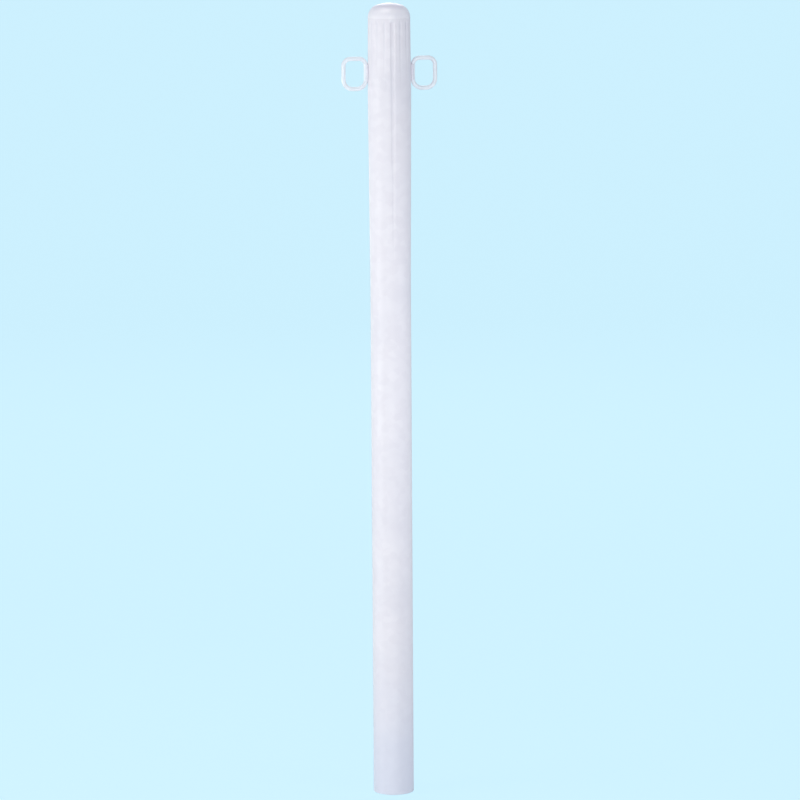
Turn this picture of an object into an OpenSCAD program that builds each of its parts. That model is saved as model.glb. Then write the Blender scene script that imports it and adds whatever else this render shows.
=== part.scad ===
// Tubular steel bollard with a domed cap, a flared and fluted head and two welded chain eyes.
// Millimetres, +Z up. The origin is the centre of the open lower end, and the chain eyes lie along X.

/* [Post] */
// Overall height, from the lower end to the top of the cap
post_h = 1500; // [1200:10:2000]
// Outside diameter of the tube below the head
tube_d = 76.1; // [70:0.1:79]
// Wall thickness of the tube
tube_wall = 2.9; // [2:0.1:4]

/* [Head] */
// Outside diameter of the head's top and of the cap, over the lands between the flutes
top_d = 78.8; // [78:0.1:88]
// How much wider than its top the head is at its widest place, where the flare ends
head_swell = 2.2; // [0.4:0.1:4]
// Length of the fluted part of the head, from its widest place up to the band under the cap
head_l = 130; // [110:1:200]
// Length of the flare, from the plain tube up to the widest place
flare_l = 360; // [200:1:400]
// Height of the straight band between the fluted part and the cap
band_h = 4.5; // [4.5:0.5:20]

/* [Cap] */
// Radius of the cap's crown
crown_r = 75; // [60:1:120]
// Radius of the cap's knuckle, where the crown turns down into the rim
knuckle_r = 25; // [15:1:30]
// Height of the cap's straight rim
rim_h = 0.5; // [0.5:0.5:10]
// Thickness of the pressed cap
cap_t = 3; // [2:0.5:5]

/* [Flutes] */
// Places for flutes around the head, of which the two under the chain eyes are left plain
flute_count = 16; // [12:4:20]
// Radius of the two long flutes, which run down the head and the flare at the front and the back
long_flute_r = 5.5; // [5:0.5:8]
// Depth of a long flute at the top of the head
long_flute_depth = 3; // [1:0.1:4]
// Radius of the short flutes, which run down the head only
short_flute_r = 6; // [4:0.5:6]
// Depth of a short flute at the top of the head
short_flute_depth = 1.2; // [0.5:0.1:2]
// Distance that a flute runs on past the part of the post that it crosses, at either end
run_out = 2; // [1:0.5:2]

/* [Chain eyes] */
// Diameter of the round bar that the eyes are bent from
rod_d = 8; // [6:0.5:10]
// Width of an eye along the bar's centre line
eye_w = 42; // [36:1:60]
// Height of an eye along the bar's centre line
eye_h = 56; // [46:1:70]
// Bend radius of the upper corners, along the centre line
eye_top_bend_r = 13; // [8:0.5:15]
// Bend radius of the lower corners, along the centre line
eye_low_bend_r = 17; // [8:0.5:18]
// Height from the middle of the eyes up to the top of the cap
eye_drop = 131; // [100:1:160]

/* [Welds] */
// Radius of the weld beads along the inner bar of each eye
bead_r = 3.2; // [2.5:0.1:4]
// Distance of a bead's centre line from the plane of the eyes
bead_y = 3.9; // [3:0.1:4.5]
// Distance of a bead's centre line from the surface of the head
bead_out = 2.3; // [1.5:0.1:3]

/* [Hidden] */
$fn = 96;

tube_r = tube_d / 2;
top_r = top_d / 2;
head_r = top_r + head_swell / 2;
rod_r = rod_d / 2;
// How far a cutting shape reaches past the face it cuts
PAST = 1;

// The cap's arcs: the knuckle touches the crown, and its lowest point is level with the rim
crown_z = post_h - crown_r;
knuckle_x = top_r - knuckle_r;
knuckle_z = crown_z + sqrt(pow(crown_r - knuckle_r, 2) - pow(knuckle_x, 2));
rim_z = knuckle_z - rim_h;

// Heights where the band, the fluted part of the head and the flare begin
band_z = rim_z - band_h;
head_z = band_z - head_l;
flare_z = head_z - flare_l;

// Flutes are counted from the front, so the eyes lie at a quarter and at three quarters of the count
flute_pitch = 360 / flute_count;
LONG_FLUTES = [0, flute_count / 2];
SHORT_FLUTES = [for (i = [0 : flute_count - 1]) if (i % (flute_count / 4) != 0) i];

// Middle of the right eye, whose inner bar touches the head at its lower bend, and of its weld beads
eye_z = post_h - eye_drop;
eye_foot_r = outside_r(eye_z - eye_h / 2 + eye_low_bend_r);
eye_x = eye_foot_r + rod_r + eye_w / 2;
bead_x = sqrt(pow(eye_foot_r + bead_out, 2) - pow(bead_y, 2));

// Outside radius of the tube at a height, with no flutes
function outside_r(z) = lookup(z, [[flare_z, tube_r], [head_z, head_r], [band_z, top_r]]);

module post_tube() {
    color("gainsboro")
    difference() {
        fluted_body(0);
        fluted_body(tube_wall);
    }
}

// The tube as a solid, or its hollow when drawn inset by the wall, which stays as thick behind a flute
module fluted_body(inset) {
    difference() {
        plain_body(inset);
        for (i = LONG_FLUTES)
            rotate(i * flute_pitch) flute_tool(long_flute_r, long_flute_depth, flare_z - run_out, inset);
        for (i = SHORT_FLUTES)
            rotate(i * flute_pitch) flute_tool(short_flute_r, short_flute_depth, head_z - run_out, inset);
    }
}

module plain_body(inset) {
    past = inset > 0 ? PAST : 0;
    rotate_extrude()
    polygon([
        [0, -past],
        [tube_r - inset, -past],
        [tube_r - inset, flare_z],
        [head_r - inset, head_z],
        [top_r - inset, band_z],
        [top_r - inset, rim_z + past],
        [0, rim_z + past]
    ]);
}

// A leaning rod with a round upper end: it presses its full depth at the top and leaves the surface at low_z
module flute_tool(tool_r, depth, low_z, inset) {
    ball_z = band_z + run_out - sqrt(depth * (2 * tool_r - depth));
    ball_y = top_r - depth + tool_r;
    low_y = outside_r(low_z) + tool_r;
    lean = atan((low_y - ball_y) / (ball_z - low_z));
    rod_l = norm([low_y - ball_y, ball_z - low_z]) + 2 * tool_r;
    translate([0, -ball_y, ball_z])
    rotate([-lean, 0, 0]) {
        sphere(tool_r + inset);
        translate([0, 0, -rod_l]) cylinder(r = tool_r + inset, h = rod_l);
    }
}

module domed_cap() {
    color("gainsboro")
    rotate_extrude()
    difference() {
        dome_outline(0);
        dome_outline(cap_t);
    }
}

// Half of the cap's outline, or of its hollow when inset by the thickness
module dome_outline(inset) {
    low_z = rim_z - (inset > 0 ? PAST : 0);
    reach = crown_r / (crown_r - knuckle_r) * 1.1;
    intersection() {
        translate([0, low_z]) square([top_r, post_h - low_z]);
        union() {
            intersection() {
                translate([0, crown_z]) circle(crown_r - inset);
                polygon([
                    [0, crown_z],
                    [reach * knuckle_x, crown_z + reach * (knuckle_z - crown_z)],
                    [0, crown_z + reach * crown_r]
                ]);
            }
            translate([knuckle_x, knuckle_z]) circle(knuckle_r - inset);
            translate([0, low_z]) square([top_r - inset, knuckle_z - low_z]);
        }
    }
}

module chain_eye_left() {
    mirror([1, 0, 0]) chain_eye_right();
}

module chain_eye_right() {
    color("gainsboro")
    translate([eye_x, 0, eye_z])
    bar_ring();
}

// A closed ring of round bar in the XZ plane, with four straight lengths and four bends
module bar_ring() {
    for (side = [-1, 1]) {
        translate([side * eye_w / 2, 0, eye_low_bend_r - eye_h / 2])
        cylinder(r = rod_r, h = eye_h - eye_top_bend_r - eye_low_bend_r);
        crossbar(side * eye_h / 2, side > 0 ? eye_top_bend_r : eye_low_bend_r);
    }
    for (turn = [0, 1]) {
        mirror([turn, 0, 0]) bend(eye_top_bend_r);
        mirror([turn, 0, 0]) mirror([0, 0, 1]) bend(eye_low_bend_r);
    }
}

module crossbar(z, bend_r) {
    half = eye_w / 2 - bend_r;
    translate([-half, 0, z])
    rotate([0, 90, 0])
    cylinder(r = rod_r, h = 2 * half);
}

// A quarter turn of the bar at the upper right corner of the ring
module bend(bend_r) {
    translate([eye_w / 2 - bend_r, 0, eye_h / 2 - bend_r])
    rotate([90, 0, 0])
    rotate_extrude(angle = 90)
    translate([bend_r, 0])
    circle(rod_r);
}

module weld_left() {
    mirror([1, 0, 0]) weld_right();
}

// Two beads, in front of the inner bar and behind it, that lie against the bar and the head
module weld_right() {
    color("silver")
    difference() {
        for (side = [-1, 1])
            translate([bead_x, side * bead_y, eye_z])
            bead();
        plain_body(0);
        translate([eye_x, 0, eye_z]) bar_ring();
    }
}

// A bead with round ends, as long as the bar is straight
module bead() {
    low_z = eye_low_bend_r - eye_h / 2;
    high_z = eye_h / 2 - eye_top_bend_r;
    translate([0, 0, low_z]) cylinder(r = bead_r, h = high_z - low_z);
    for (z = [low_z, high_z])
        translate([0, 0, z]) sphere(bead_r);
}

post_tube();
domed_cap();
chain_eye_left();
chain_eye_right();
weld_left();
weld_right();
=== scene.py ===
"""A galvanised steel chain bollard: a tube with a domed cap, a fluted head and two welded chain eyes."""

import math

import bmesh
import bpy
from mathutils import Matrix, Vector, noise


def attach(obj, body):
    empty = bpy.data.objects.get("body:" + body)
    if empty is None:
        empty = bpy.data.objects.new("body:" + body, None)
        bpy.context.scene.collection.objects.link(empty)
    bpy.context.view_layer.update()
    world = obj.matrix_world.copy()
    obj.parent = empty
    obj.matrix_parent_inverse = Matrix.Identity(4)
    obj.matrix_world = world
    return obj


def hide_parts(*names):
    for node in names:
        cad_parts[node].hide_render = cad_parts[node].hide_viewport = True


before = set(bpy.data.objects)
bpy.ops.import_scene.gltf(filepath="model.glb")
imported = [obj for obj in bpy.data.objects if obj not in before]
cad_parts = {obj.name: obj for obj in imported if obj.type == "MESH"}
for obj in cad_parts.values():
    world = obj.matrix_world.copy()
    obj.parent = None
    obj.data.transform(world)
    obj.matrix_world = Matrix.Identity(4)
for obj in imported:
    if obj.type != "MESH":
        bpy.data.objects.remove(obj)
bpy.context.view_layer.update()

# Sizes, in metres, as in the part's source

POST_H = 1.5
TUBE_R = 0.03805
WALL = 0.0029
HEAD_R = 0.0405
TOP_R = 0.0394
HEAD_L = 0.130
FLARE_L = 0.360
BAND_H = 0.0045

CROWN_R = 0.075
KNUCKLE_R = 0.025
RIM_H = 0.0005
CAP_T = 0.003

FLUTE_COUNT = 16
LONG_DEPTH, LONG_TOOL_R = 0.0030, 0.0055
SHORT_DEPTH, SHORT_TOOL_R = 0.0012, 0.0060
RUN_OUT = 0.002

ROD_R = 0.004
EYE_W, EYE_H = 0.042, 0.056
EYE_TOP_BEND, EYE_LOW_BEND = 0.013, 0.017
EYE_DROP = 0.131

BEAD_R, BEAD_Y, BEAD_OUT = 0.0032, 0.0039, 0.0023

# Roundings that the solids leave out: where the flare begins, at a flute's upper end, on the lips of its
# mark (which take no more than LIP_SHARE of its depth) and on the edges of the foot

BEND_EASE = 0.024
FLUTE_END = 0.0075
LIP_ROUNDING, LIP_SHARE = 0.0002, 0.35
FOOT_ROUNDING = 0.0014

# Rows and steps of the meshes. The tube's rows come closer together from CLOSER_FROM below each bend.

FOOT_ROWS = (0.0, 0.0002, 0.0005, 0.0009, FOOT_ROUNDING, 0.004, 0.02)
PLAIN_STEP, FLARE_STEP, HEAD_STEP, TOP_STEP = 0.04, 0.008, 0.004, 0.0008
CLOSER_FROM = 0.012
TUBE_STEPS, CAP_STEPS, BEAD_STEPS = 400, 192, 40
BAR_SIDES = 28
BEAD_ROWS = 84

# Heights and places that follow from the sizes

CROWN_Z = POST_H - CROWN_R
KNUCKLE_X = TOP_R - KNUCKLE_R
KNUCKLE_Z = CROWN_Z + math.sqrt((CROWN_R - KNUCKLE_R) ** 2 - KNUCKLE_X ** 2)
RIM_Z = KNUCKLE_Z - RIM_H
BAND_Z = RIM_Z - BAND_H
HEAD_Z = BAND_Z - HEAD_L
FLARE_Z = HEAD_Z - FLARE_L

FLUTE_PITCH = 2 * math.pi / FLUTE_COUNT
LONG_FLUTES = (0, FLUTE_COUNT // 2)
PLAIN_PLACES = (FLUTE_COUNT // 4, 3 * FLUTE_COUNT // 4)


def outside_r(z):
    """Radius of the tube's outside at a height, with no flutes."""
    if z <= FLARE_Z:
        return TUBE_R
    if z <= HEAD_Z:
        return TUBE_R + (HEAD_R - TUBE_R) * (z - FLARE_Z) / (HEAD_Z - FLARE_Z)
    if z <= BAND_Z:
        return HEAD_R + (TOP_R - HEAD_R) * (z - HEAD_Z) / (BAND_Z - HEAD_Z)
    return TOP_R


EYE_Z = POST_H - EYE_DROP
BAR_LOW_Z = EYE_Z - EYE_H / 2 + EYE_LOW_BEND
BAR_HIGH_Z = EYE_Z + EYE_H / 2 - EYE_TOP_BEND
EYE_FOOT_R = outside_r(BAR_LOW_Z)
EYE_X = EYE_FOOT_R + ROD_R + EYE_W / 2
BEAD_X = math.sqrt((EYE_FOOT_R + BEAD_OUT) ** 2 - BEAD_Y ** 2)


# Shapes

def smoothstep(x):
    x = min(max(x, 0.0), 1.0)
    return x * x * (3 - 2 * x)


def finish_mesh(bm, name, material, recalc=True):
    """Closes the seams, turns the faces outwards and makes the object, at the origin."""
    bmesh.ops.remove_doubles(bm, verts=bm.verts[:], dist=1e-6)
    if recalc:
        bmesh.ops.recalc_face_normals(bm, faces=bm.faces[:])
    for face in bm.faces:
        face.smooth = True
    mesh = bpy.data.meshes.new(name)
    bm.to_mesh(mesh)
    bm.free()
    mesh.materials.append(material)
    obj = bpy.data.objects.new(name, mesh)
    bpy.context.scene.collection.objects.link(obj)
    return obj


def polyline(bm, points):
    verts = [bm.verts.new(p) for p in points]
    edges = [bm.edges.new(pair) for pair in zip(verts, verts[1:])]
    return verts + edges


def spun(bm, points, steps):
    """A closed turned shape: the outline, in the XZ plane, spun once round the tube's axis."""
    bmesh.ops.spin(bm, geom=polyline(bm, points), cent=(0, 0, 0), axis=(0, 0, 1), dvec=(0, 0, 0),
                   angle=2 * math.pi, steps=steps, use_merge=True, use_duplicate=False)


def eased_r(z):
    """Outside radius at a height, with no flutes, and with the bend where the flare begins eased."""
    if abs(z - FLARE_Z) >= BEND_EASE:
        return outside_r(z)
    half = 4
    weights = {k: half + 1 - abs(k) for k in range(-half, half + 1)}
    return sum(outside_r(z + BEND_EASE * k / half) * w for k, w in weights.items()) / sum(weights.values())


def flute_place(angle):
    """The nearest place for a flute, counted from the front, and the angle from its middle."""
    from_front = angle + math.pi / 2
    place = round(from_front / FLUTE_PITCH)
    return place % FLUTE_COUNT, abs(from_front - place * FLUTE_PITCH)


def flute_depth_at(z, full, low_z):
    """Depth along a flute's middle: full at its round upper end, none where it runs out at low_z."""
    top_z = BAND_Z + RUN_OUT
    if z >= top_z or z <= low_z:
        return 0.0
    depth = full * (z - low_z) / (top_z - low_z)
    return depth * math.sqrt(smoothstep((top_z - z) / FLUTE_END))


def pressed_in(angle, z):
    """How far the wall is pressed in at a place, by a round-nosed tool, with the lips of its mark eased."""
    place, off_angle = flute_place(angle)
    if place in PLAIN_PLACES:
        return 0.0
    if place in LONG_FLUTES:
        full, tool_r, low_z = LONG_DEPTH, LONG_TOOL_R, FLARE_Z - RUN_OUT
    else:
        full, tool_r, low_z = SHORT_DEPTH, SHORT_TOOL_R, HEAD_Z - RUN_OUT
    depth = flute_depth_at(z, full, low_z)
    if depth <= 0:
        return 0.0
    off = off_angle * outside_r(z)
    mark = math.sqrt(max(tool_r ** 2 - off ** 2, 0.0)) - (tool_r - depth)
    ease = min(LIP_ROUNDING, LIP_SHARE * depth)
    return (mark + math.hypot(mark, ease)) / 2


def foot_edge(z):
    """How far the rounded edges of the foot draw the wall's two faces back at a height."""
    if z >= FOOT_ROUNDING:
        return 0.0
    return FOOT_ROUNDING - math.sqrt(FOOT_ROUNDING ** 2 - (FOOT_ROUNDING - z) ** 2)


def tube_heights():
    """Rows of the tube's skin, close together where the flutes begin and wider apart on the plain tube."""
    rows = list(FOOT_ROWS)
    z = rows[-1] + PLAIN_STEP
    while z < FLARE_Z - PLAIN_STEP:
        rows.append(z)
        z += PLAIN_STEP
    z = FLARE_Z - PLAIN_STEP
    for end_z, step in (
        (HEAD_Z - CLOSER_FROM, FLARE_STEP), (BAND_Z - CLOSER_FROM, HEAD_STEP), (RIM_Z - TOP_STEP, TOP_STEP),
    ):
        while z < end_z:
            rows.append(z)
            z += step
    return rows + [RIM_Z]


def build_tube(material):
    """The tube and its hollow, turned as one and then pressed in, with every second row left out inside."""
    bm = bmesh.new()
    rows = tube_heights()
    foot = len(FOOT_ROWS) - 1
    inner_rows = rows[:foot] + rows[foot:-1:2] + rows[-1:]
    outer = [(outside_r(z), 0, z) for z in rows]
    inner = [(outside_r(z) - WALL, 0, z) for z in reversed(inner_rows)]
    spun(bm, outer + inner + outer[:1], TUBE_STEPS)
    hollow = bm.verts.layers.float.new("flute_painted_shade")
    for v in bm.verts:
        z = v.co.z
        angle = math.atan2(v.co.y, v.co.x)
        inset = outside_r(z) - math.hypot(v.co.x, v.co.y)
        inset += foot_edge(z) if inset < WALL / 2 else -foot_edge(z)
        push = pressed_in(angle, z)
        place, _ = flute_place(angle)
        # mask for the painted shade in the short flutes' hollows: 1 where a short flute is pressed in fully
        v[hollow] = 0 if place in LONG_FLUTES else min(push / SHORT_DEPTH, 1)
        r = eased_r(z) - inset - push
        v.co.x, v.co.y = r * math.cos(angle), r * math.sin(angle)
    return finish_mesh(bm, "fluted_tube", material)


def arc(centre_x, centre_z, radius, start, end, steps):
    """Points on an arc in the XZ plane, with angles in radians from straight up."""
    return [(centre_x + radius * math.sin(a), 0, centre_z + radius * math.cos(a))
            for a in (start + (end - start) * i / steps for i in range(steps + 1))]


def cap_outline(inset, crown_steps, knuckle_steps):
    """The cap's outline from its top to its rim, or that of its hollow when inset by the thickness."""
    meet = math.atan2(KNUCKLE_X, KNUCKLE_Z - CROWN_Z)
    crown = arc(0, CROWN_Z, CROWN_R - inset, 0, meet, crown_steps)
    knuckle = arc(KNUCKLE_X, KNUCKLE_Z, KNUCKLE_R - inset, meet, math.pi / 2, knuckle_steps)
    return crown + knuckle[1:] + [(TOP_R - inset, 0, RIM_Z)]


def build_cap(material):
    bm = bmesh.new()
    spun(bm, cap_outline(0, 24, 28) + cap_outline(CAP_T, 16, 20)[::-1], CAP_STEPS)
    return finish_mesh(bm, "pressed_cap", material)


def build_eye(material):
    """A closed ring of round bar, carried round its four bends and along its four straights."""
    bm = bmesh.new()
    bend_axis = Vector((0, 1, 0))
    heading = Vector((0, 0, 1))
    place = Vector((EYE_X - EYE_W / 2, 0, EYE_Z))
    made = bmesh.ops.create_circle(bm, cap_ends=False, radius=ROD_R, segments=BAR_SIDES,
                                   matrix=Matrix.Translation(place))
    loop = list({e for v in made["verts"] for e in v.link_edges})

    def straight(loop, length, cuts):
        nonlocal place
        step = heading * (length / cuts)
        for _ in range(cuts):
            out = bmesh.ops.extrude_edge_only(bm, edges=loop)["geom"]
            verts = [g for g in out if isinstance(g, bmesh.types.BMVert)]
            bmesh.ops.translate(bm, verts=verts, vec=step)
            edges = [g for g in out if isinstance(g, bmesh.types.BMEdge)]
            loop = [e for e in edges if all(v in verts for v in e.verts)]
            place = place + step
        return loop

    def bend(loop, radius, steps):
        nonlocal place, heading
        centre = place + bend_axis.cross(heading) * radius
        out = bmesh.ops.spin(bm, geom=loop + list({v for e in loop for v in e.verts}), cent=centre,
                             axis=bend_axis, dvec=(0, 0, 0), angle=math.pi / 2, steps=steps)["geom_last"]
        quarter = Matrix.Rotation(math.pi / 2, 3, bend_axis)
        place = centre + quarter @ (place - centre)
        heading = (quarter @ heading).normalized()
        return [g for g in out if isinstance(g, bmesh.types.BMEdge)]

    top_half = EYE_H / 2 - EYE_TOP_BEND
    low_half = EYE_H / 2 - EYE_LOW_BEND
    for length, cuts, radius, steps in (
        (top_half, 4, EYE_TOP_BEND, 16),
        (EYE_W - 2 * EYE_TOP_BEND, 4, EYE_TOP_BEND, 16),
        (top_half + low_half, 8, EYE_LOW_BEND, 18),
        (EYE_W - 2 * EYE_LOW_BEND, 4, EYE_LOW_BEND, 18),
    ):
        loop = straight(loop, length, cuts)
        loop = bend(loop, radius, steps)
    straight(loop, low_half, 4)
    bmesh.ops.remove_doubles(bm, verts=bm.verts[:], dist=1e-5)
    return finish_mesh(bm, "right_eye_bar", material)


def build_bead(name, side, material):
    """A weld bead with the small overlapping ripples that a hand weld leaves, smoothed by its zinc coat."""
    ripple_step, ripple_depth, ripple_bow, ripple_power = 0.0019, 0.00022, 0.0011, 0.7
    uneven_depth, uneven_scale, uneven_sink = 0.00025, 260, 0.6
    own_pattern = side * 3.0
    bm = bmesh.new()
    low_z = BAR_LOW_Z - BEAD_R
    high_z = BAR_HIGH_Z + BEAD_R
    points = []
    for i in range(BEAD_ROWS + 1):
        z = low_z + (high_z - low_z) * i / BEAD_ROWS
        short = max(BEAD_R - min(z - low_z, high_z - z), 0)
        points.append((math.sqrt(max(BEAD_R ** 2 - short ** 2, 0)), 0, z))
    spun(bm, points, BEAD_STEPS)
    for v in bm.verts:
        r = math.hypot(v.co.x, v.co.y)
        if r < 1e-7:
            continue
        angle = math.atan2(v.co.y, v.co.x)
        # the ripples bow downwards in the middle of the bead, as the weld pool freezes
        wave = (v.co.z + ripple_bow * math.cos(angle)) / ripple_step
        ripple = ripple_depth * (abs(math.sin(math.pi * wave)) ** ripple_power - 1)
        waviness = noise.noise(Vector((own_pattern, angle, v.co.z * uneven_scale)))
        uneven = uneven_depth * (waviness - uneven_sink)
        k = (r + (ripple + uneven) * min(1, r / BEAD_R)) / r
        v.co.x *= k
        v.co.y *= k
    bmesh.ops.translate(bm, verts=bm.verts[:], vec=(BEAD_X, side * BEAD_Y, 0))
    return finish_mesh(bm, name, material)


def mirrored(obj, name):
    """A copy on the other side of the tube, with its faces turned outwards again."""
    bm = bmesh.new()
    bm.from_mesh(obj.data)
    bmesh.ops.transform(bm, matrix=Matrix.Scale(-1, 4, (1, 0, 0)), verts=bm.verts[:])
    return finish_mesh(bm, name, obj.data.materials[0])


def joined(objs, name):
    """One piece made of several, which stay separate shells."""
    bm = bmesh.new()
    for o in objs:
        bm.from_mesh(o.data)
    material = objs[0].data.materials[0]
    for o in objs:
        bpy.data.objects.remove(o)
    return finish_mesh(bm, name, material, recalc=False)


# Finishes

def feed(tree, node, inputs):
    """Sets each input of a node, by name or number, to a value, or links it to another node's output."""
    for key, value in inputs.items():
        if isinstance(value, bpy.types.NodeSocket):
            tree.links.new(value, node.inputs[key])
        else:
            node.inputs[key].default_value = value
    return node


def add(tree, kind, inputs=None, **settings):
    node = tree.nodes.new(kind)
    for key, value in settings.items():
        setattr(node, key, value)
    return feed(tree, node, inputs or {})


def new_group(name, inputs, outputs):
    """A node group of plain numbers: its tree, what its inputs give, and the node that its outputs feed."""
    tree = bpy.data.node_groups.new(name, "ShaderNodeTree")
    for label, value in inputs.items():
        socket = tree.interface.new_socket(label, in_out="INPUT", socket_type="NodeSocketFloat")
        socket.default_value = value
    for label in outputs:
        tree.interface.new_socket(label, in_out="OUTPUT", socket_type="NodeSocketFloat")
    return tree, add(tree, "NodeGroupInput").outputs, add(tree, "NodeGroupOutput")


def object_coords(tree):
    return add(tree, "ShaderNodeTexCoord").outputs["Object"]


def height_of(tree, coords):
    return add(tree, "ShaderNodeSeparateXYZ", {0: coords}).outputs["Z"]


def noise_at(tree, coords, scale, detail, roughness=0.5):
    return add(tree, "ShaderNodeTexNoise",
               {"Vector": coords, "Scale": scale, "Detail": detail, "Roughness": roughness})


def ramp(tree, source, span, values):
    """A soft step: as the source crosses the span, the result goes from the first value to the second."""
    node = add(tree, "ShaderNodeMapRange", {
        "Value": source, "From Min": span[0], "From Max": span[1], "To Min": values[0], "To Max": values[1],
    }, interpolation_type="SMOOTHSTEP")
    return node.outputs["Result"]


def mix_colour(tree, fac, a, b):
    return add(tree, "ShaderNodeMix", {0: fac, 6: a, 7: b}, data_type="RGBA").outputs[2]


def zinc_bloom_group():
    """Frozen zinc crystals: soft-edged patches, each a little lighter or darker, over a fine grain."""
    tree, given, result = new_group(
        "zinc_bloom", {"Patch size": 0.012, "Grain size": 0.0012}, ("Patches", "Grain", "Clouds"))
    coords = object_coords(tree)
    wander = (0.008, 0.008, 0.008)

    def per_metre(label):
        return add(tree, "ShaderNodeMath", {0: 1.0, 1: given[label]}, operation="DIVIDE").outputs[0]

    warp = noise_at(tree, coords, 90.0, 2.0)
    warped = add(tree, "ShaderNodeVectorMath",
                 {0: warp.outputs["Color"], 1: wander, 2: coords}, operation="MULTIPLY_ADD")
    patches = add(tree, "ShaderNodeTexVoronoi",
                  {"Vector": warped.outputs[0], "Scale": per_metre("Patch size"), "Smoothness": 0.35},
                  feature="SMOOTH_F1")
    shades = add(tree, "ShaderNodeSeparateColor", {"Color": patches.outputs["Color"]})
    grain = noise_at(tree, coords, per_metre("Grain size"), 4.0, 0.62)
    clouds = noise_at(tree, coords, 9.0, 3.0)
    feed(tree, result, {
        "Patches": shades.outputs["Red"], "Grain": grain.outputs["Fac"], "Clouds": clouds.outputs["Fac"],
    })
    return tree


def foot_painted_shade_group():
    """1 at the lower end of the post, which is painted darker and bluer as shade, and 0 further up."""
    tree, given, result = new_group("foot_painted_shade", {"Reach": 0.45}, ("Painted foot shade",))
    coords = object_coords(tree)
    sway = 0.16
    wave = noise_at(tree, coords, 14.0, 3.0)
    uneven = add(tree, "ShaderNodeMath", {0: wave.outputs["Fac"], 1: sway, 2: height_of(tree, coords)},
                 operation="MULTIPLY_ADD")
    feed(tree, result, {"Painted foot shade": ramp(tree, uneven.outputs[0], (0.0, given["Reach"]), (1.0, 0.0))})
    return tree


def crown_painted_shade_group():
    """1 on the flat top of the cap, which is painted darker as shade, and 0 from its knuckle down."""
    tree, given, result = new_group(
        "crown_painted_shade", {"Starts": POST_H - 0.0135, "Full": POST_H - 0.0055}, ("Painted crown shade",))
    height = height_of(tree, object_coords(tree))
    feed(tree, result, {"Painted crown shade": ramp(tree, height, (given["Starts"], given["Full"]), (0.0, 1.0))})
    return tree


ZINC_BLOOM = zinc_bloom_group()
FOOT_PAINTED_SHADE = foot_painted_shade_group()
CROWN_PAINTED_SHADE = crown_painted_shade_group()

FOOT_SHADE_TINT = (0.76, 0.79, 0.89)
BLOOM_RELIEF = 0.00006


def galvanised(name, light, dark, dull, rough, metallic=0.15, patch=0.012, hollow_painted_shade=0.0, crown=None):
    """Hot-dip zinc: light and dark patches, dull clouds, and a bluer, darker foot that is painted shade."""
    mat = bpy.data.materials.new(name)
    mat.use_nodes = True
    tree = mat.node_tree
    bloom = add(tree, "ShaderNodeGroup", {"Patch size": patch}, node_tree=ZINC_BLOOM).outputs
    foot_shade = add(tree, "ShaderNodeGroup", node_tree=FOOT_PAINTED_SHADE).outputs

    def tinted(colour, mask, tint):
        return mix_colour(tree, mask, colour, (*tint, 1))

    colour = tinted((*light, 1), bloom["Patches"], dark)
    colour = tinted(colour, ramp(tree, bloom["Grain"], (0.30, 0.75), (0.0, 0.35)), dark)
    colour = tinted(colour, ramp(tree, bloom["Clouds"], (0.42, 0.72), (0.0, 0.45)), dull)
    # painted shade: the foot is darkened and turned bluer towards the foot tint
    colour = tinted(colour, ramp(tree, foot_shade["Painted foot shade"], (0.0, 1.0), (0.0, 0.8)), FOOT_SHADE_TINT)
    # painted shade: the short flutes' hollows are darkened towards the dull colour
    if hollow_painted_shade:
        hollow = add(tree, "ShaderNodeAttribute", attribute_name="flute_painted_shade").outputs["Fac"]
        colour = tinted(colour, ramp(tree, hollow, (0.15, 1.0), (0.0, hollow_painted_shade)), dull)
    # painted shade: the cap's flat top is darkened towards the crown colour
    if crown:
        top = add(tree, "ShaderNodeGroup", node_tree=CROWN_PAINTED_SHADE).outputs
        colour = tinted(colour, top["Painted crown shade"], crown)

    height = add(tree, "ShaderNodeMath", {0: bloom["Grain"], 1: 0.6, 2: bloom["Patches"]},
                 operation="MULTIPLY_ADD")
    relief = add(tree, "ShaderNodeBump",
                 {"Strength": 0.6, "Distance": BLOOM_RELIEF, "Height": height.outputs[0]})
    feed(tree, tree.nodes["Principled BSDF"], {
        "Base Color": colour,
        "Metallic": metallic,
        "Roughness": ramp(tree, bloom["Patches"], (0.0, 1.0), (rough - 0.05, rough + 0.07)),
        "Specular IOR Level": 0.3,
        "Normal": relief.outputs["Normal"],
    })
    return mat


tube_zinc = galvanised(
    "galvanised_tube_zinc", light=(0.91, 0.89, 0.93), dark=(0.875, 0.855, 0.90), dull=(0.81, 0.80, 0.86),
    rough=0.62, hollow_painted_shade=0.5)
# The cap's colours are lighter than the tube's: a painted highlight on its knuckle.
cap_zinc_painted_highlight = galvanised(
    "galvanised_cap_zinc_painted_highlight", light=(0.97, 0.95, 0.98), dark=(0.92, 0.90, 0.95), dull=(0.88, 0.86, 0.92),
    rough=0.48, crown=(0.87, 0.83, 0.90))
bar_zinc = galvanised(
    "galvanised_bar_zinc", light=(0.91, 0.95, 0.99), dark=(0.86, 0.91, 0.96), dull=(0.82, 0.87, 0.93),
    rough=0.46, patch=0.006)
weld_zinc = galvanised(
    "galvanised_weld_zinc", light=(0.88, 0.87, 0.92), dark=(0.80, 0.79, 0.85), dull=(0.72, 0.71, 0.78),
    rough=0.56, metallic=0.20, patch=0.003)


# The bollard

tube = build_tube(tube_zinc)
cap = build_cap(cap_zinc_painted_highlight)
right_eye = build_eye(bar_zinc)
left_eye = mirrored(right_eye, "left_eye_bar")
right_beads = [build_bead("front_bead", -1, weld_zinc), build_bead("back_bead", 1, weld_zinc)]
right_weld = joined(right_beads, "right_weld_beads")
left_weld = mirrored(right_weld, "left_weld_beads")

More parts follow.
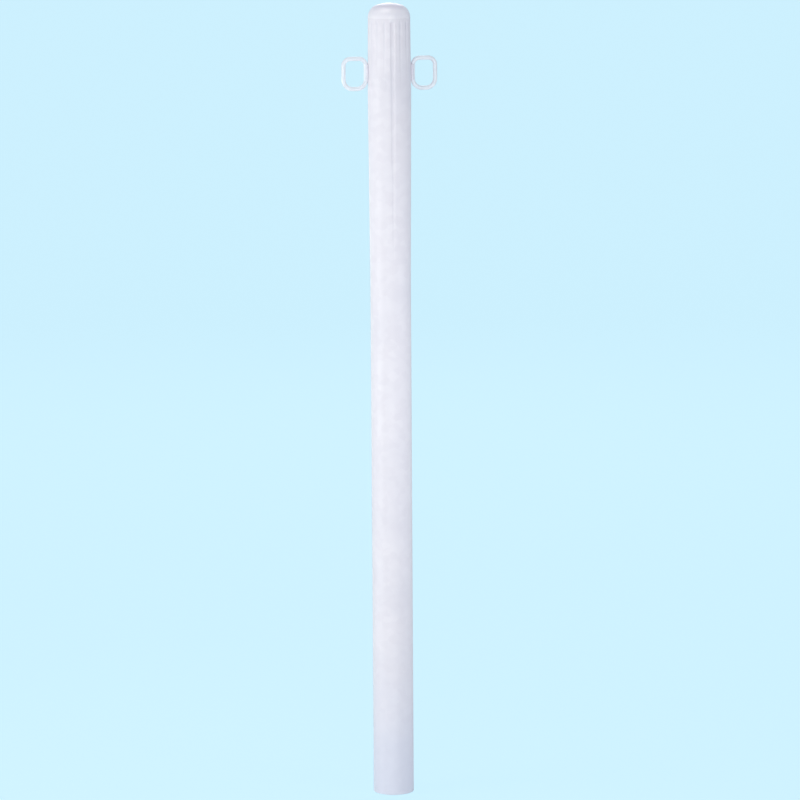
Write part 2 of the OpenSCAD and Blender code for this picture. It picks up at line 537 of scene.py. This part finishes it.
for piece, node, material_slot in (
    (tube, "post_tube", "galvanised_tube"),
    (cap, "domed_cap", "galvanised_cap"),
    (left_eye, "chain_eye_left", "galvanised_bar"),
    (right_eye, "chain_eye_right", "galvanised_bar"),
    (left_weld, "weld_left", "galvanised_weld"),
    (right_weld, "weld_right", "galvanised_weld"),
):
    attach(piece, "root")
    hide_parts(node)
    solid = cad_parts[node].data
    solid.materials.clear()
    solid.materials.append(piece.data.materials[0])


# Floor, light and camera

BACKDROP = (0.603, 0.879, 1.0, 1)
FLOOR_TONE = (0.80, 0.85, 0.88, 1)
FLOOR_GLOW, GLOW_SHARE = 1.053, 0.91
AIR, AIR_STRENGTH = (0.925, 0.885, 1.0, 1), 0.472


def seen_ray(tree):
    """1 for a ray that sees the background, also in a reflection, and 0 for one that lights the post."""
    path = add(tree, "ShaderNodeLightPath").outputs
    seen = path["Is Camera Ray"]
    for kind in ("Is Glossy Ray", "Is Transmission Ray"):
        seen = add(tree, "ShaderNodeMath", {0: seen, 1: path[kind]}, operation="MAXIMUM").outputs[0]
    return seen


def pale_backdrop():
    """Matt pale blue that takes the post's shadow, and shows its plain colour to camera and reflections."""
    mat = bpy.data.materials.new("pale_blue_backdrop")
    mat.use_nodes = True
    tree = mat.node_tree
    matt = feed(tree, tree.nodes["Principled BSDF"],
                {"Base Color": FLOOR_TONE, "Roughness": 1.0, "Specular IOR Level": 0.0})
    glow = add(tree, "ShaderNodeEmission", {"Color": BACKDROP, "Strength": FLOOR_GLOW})
    share = add(tree, "ShaderNodeMath", {0: seen_ray(tree), 1: GLOW_SHARE}, operation="MULTIPLY")
    blend = add(tree, "ShaderNodeMixShader", {0: share.outputs[0], 1: matt.outputs[0], 2: glow.outputs[0]})
    feed(tree, tree.nodes["Material Output"], {"Surface": blend.outputs[0]})
    return mat


def studio_air():
    """Even light from all round, with the backdrop's colour wherever the air itself is seen."""
    world = bpy.data.worlds.new("studio_air")
    world.use_nodes = True
    tree = world.node_tree
    air = feed(tree, tree.nodes["Background"], {"Color": AIR, "Strength": AIR_STRENGTH})
    plain = add(tree, "ShaderNodeBackground", {"Color": BACKDROP, "Strength": 1.0})
    blend = add(tree, "ShaderNodeMixShader", {0: seen_ray(tree), 1: air.outputs[0], 2: plain.outputs[0]})
    feed(tree, tree.nodes["World Output"], {"Surface": blend.outputs[0]})
    return world


def build_floor(material):
    """A floor that curves up into a backdrop behind the post."""
    half, curve_r, steps = 9, 2, 12
    foot_y = half - curve_r
    points = [(-half, -half, 0), (-half, foot_y, 0)]
    for i in range(1, steps + 1):
        a = math.pi / 2 * i / steps
        points.append((-half, foot_y + curve_r * math.sin(a), curve_r - curve_r * math.cos(a)))
    points.append((-half, half, half))
    bm = bmesh.new()
    edges = [g for g in polyline(bm, points) if isinstance(g, bmesh.types.BMEdge)]
    out = bmesh.ops.extrude_edge_only(bm, edges=edges)["geom"]
    far_side = [g for g in out if isinstance(g, bmesh.types.BMVert)]
    bmesh.ops.translate(bm, verts=far_side, vec=(2 * half, 0, 0))
    return finish_mesh(bm, "floor_sweep", material)


floor = build_floor(pale_backdrop())
bpy.context.scene.world = studio_air()

WARM, NEUTRAL = (1.0, 0.99, 0.93), (1.0, 1.0, 1.0)


def soft_light(name, place, aim_z, size, power, colour):
    """A square lamp that the camera doesn't see, turned to a height on the post's axis."""
    data = bpy.data.lights.new(name, "AREA")
    data.shape = "SQUARE"
    data.size = size
    data.energy = power
    data.color = colour
    obj = bpy.data.objects.new(name, data)
    bpy.context.scene.collection.objects.link(obj)
    obj.location = place
    obj.visible_camera = False
    obj.rotation_euler = (Vector((0, 0, aim_z)) - Vector(place)).to_track_quat("-Z", "Y").to_euler()


soft_light("front_softbox", (-0.56, -4.40, 0.5), 0.8, 2.2, 59, WARM)
soft_light("left_softbox", (-1.97, -0.38, 0.8), 0.8, 1.0, 13.0, WARM)
soft_light("left_back_softbox", (-0.74, 0.95, 1.04), 0.8, 0.6, 1.8, WARM)
soft_light("right_fill", (0.64, -0.63, 0.81), 0.8, 0.45, 1.7, NEUTRAL)
soft_light("top_softbox", (-0.42, -0.35, 3.0), 1.4, 0.8, 5.6, WARM)
soft_light("back_softbox", (0.8, 5.0, 3.2), 0.8, 1.8, 50, NEUTRAL)

camera_data = bpy.data.cameras.new("photo_camera")
camera_data.sensor_width = 36
camera_data.lens = 193.589
camera_data.clip_end = 100
camera = bpy.data.objects.new("photo_camera", camera_data)
bpy.context.scene.collection.objects.link(camera)
camera.matrix_world = (
    Matrix.Translation((-1.2928, -7.8948, 2.0))
    @ Matrix.Rotation(math.radians(-9.4156), 4, "Z")
    @ Matrix.Rotation(math.radians(81.1461), 4, "X")
    @ Matrix.Rotation(math.radians(-0.3449), 4, "Z")
)
bpy.context.scene.camera = camera

bpy.context.scene.view_settings.view_transform = "Standard"
